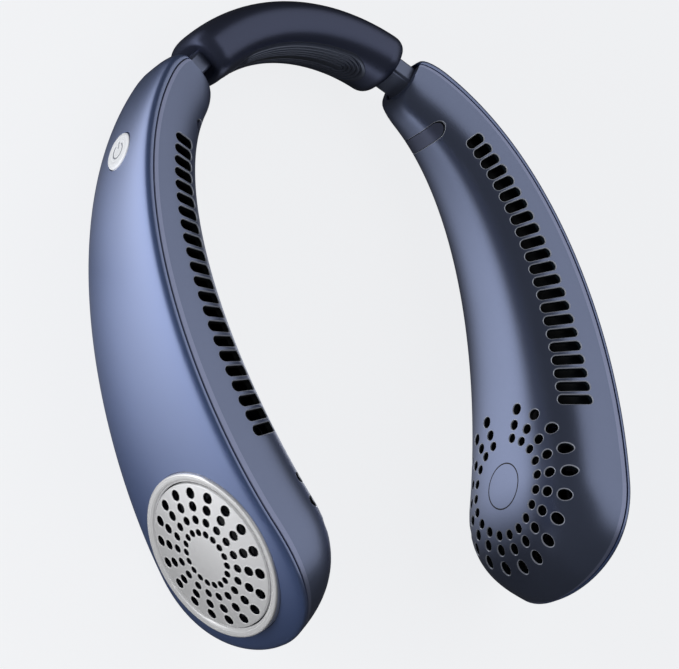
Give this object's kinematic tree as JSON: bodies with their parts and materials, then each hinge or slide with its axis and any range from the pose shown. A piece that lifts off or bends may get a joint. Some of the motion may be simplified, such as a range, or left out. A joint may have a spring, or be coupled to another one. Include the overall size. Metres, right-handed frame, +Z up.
{
  "type": "electric neck fan",
  "caption": "Wearable neck fan: curved hollow arms hinged to a padded band, a blower behind a round grille in each tip, outlet slots along the arms, a power button and a port flap.",
  "frame": {"origin": "middle of the footprint on the table top that the fan lies on, slot side up", "axes": "+X to the wearer's left, +Y towards the band behind the neck, +Z up from the table"},
  "size_m": [0.167, 0.201, 0.0604],
  "materials": {
    "blue_case": "satin",
    "navy_case": "satin",
    "band_soft": "soft satin",
    "hinge_plastic": "satin",
    "pad_rubber": "matt",
    "flap_rubber": "matt",
    "silver_bezel": "turned and polished",
    "silver_grille": "brushed",
    "white_button": "gloss",
    "fan_plastic": "moulded",
    "black_plastic": "moulded",
    "steel": "plain",
    "copper_coils": "enamelled",
    "bearing_brass": "plain",
    "cell_can": "sleeved can",
    "circuit_board": "lacquered",
    "switch_black": "moulded",
    "cable_sleeve": "matt"
  },
  "bodies": {
    "band": {"neck_band": "band_soft", "comfort_pad": "pad_rubber", "band_spring_strip": "steel", "band_cable": "cable_sleeve", "left_band_cap": "band_soft", "right_band_cap": "band_soft", "left_hinge_tongue": "hinge_plastic", "right_hinge_tongue": "hinge_plastic"},
    "left_arm": {"left_outer_cover": "blue_case", "left_inner_housing": "navy_case", "left_grille_bezel": "silver_bezel", "left_grille_plate": "silver_grille", "left_volute": "black_plastic", "left_motor_spider": "black_plastic", "left_motor_screws": "steel", "left_motor_stator": "copper_coils", "left_motor_bearing": "bearing_brass", "left_battery_cell": "cell_can", "left_duct_wall": "black_plastic", "left_hinge_pin": "steel", "usb_c_socket": "steel", "charging_board": "circuit_board"},
    "right_arm": {"right_outer_cover": "blue_case", "right_inner_housing": "navy_case", "right_grille_bezel": "silver_bezel", "right_grille_plate": "silver_grille", "right_volute": "black_plastic", "right_motor_spider": "black_plastic", "right_motor_screws": "steel", "right_motor_stator": "copper_coils", "right_motor_bearing": "bearing_brass", "right_battery_cell": "cell_can", "right_duct_wall": "black_plastic", "right_hinge_pin": "steel", "right_blank_tab": "flap_rubber", "button_switch": "switch_black", "control_board": "circuit_board"},
    "left_fan": {"left_impeller": "fan_plastic", "left_rotor_cup": "steel", "left_fan_shaft": "steel"},
    "right_fan": {"right_impeller": "fan_plastic", "right_rotor_cup": "steel", "right_fan_shaft": "steel"},
    "power_button": {"power_button": "white_button"},
    "port_cover": {"left_port_cover": "flap_rubber"}
  },
  "joints": [
    {"name": "left_arm_hinge", "type": "hinge", "parent": "band", "child": "left_arm", "pos_m": [0.04576, 0.07373, 0.01392], "axis": [0, 0.11, 0.9939], "range_deg": [-10, 25]},
    {"name": "right_arm_hinge", "type": "hinge", "parent": "band", "child": "right_arm", "pos_m": [-0.04576, 0.07373, 0.01392], "axis": [0, -0.11, -0.9939], "range_deg": [-10, 25]},
    {"name": "left_fan_spin", "type": "hinge", "parent": "left_arm", "child": "left_fan", "pos_m": [0.06839, -0.07077, 0.0299], "axis": [0.9387, -0.3428, 0.0379], "continuous": true},
    {"name": "right_fan_spin", "type": "hinge", "parent": "right_arm", "child": "right_fan", "pos_m": [-0.06839, -0.07077, 0.0299], "axis": [-0.9387, -0.3428, 0.0379], "continuous": true},
    {"name": "power_button_press", "type": "slide", "parent": "right_arm", "child": "power_button", "axis": [0.9115, -0.4088, 0.0452], "range_m": [0, 0.0008], "stiffness_N_per_m": 1500, "springref_m": -0.0004},
    {"name": "port_cover_flap", "type": "hinge", "parent": "left_arm", "child": "port_cover", "pos_m": [0.04745, 0.05498, 0.00653], "axis": [0.5816, -0.8086, 0.0894], "range_deg": [0, 90], "stiffness_Nm_per_rad": 0.001, "springref_deg": -5.73}
  ]
}
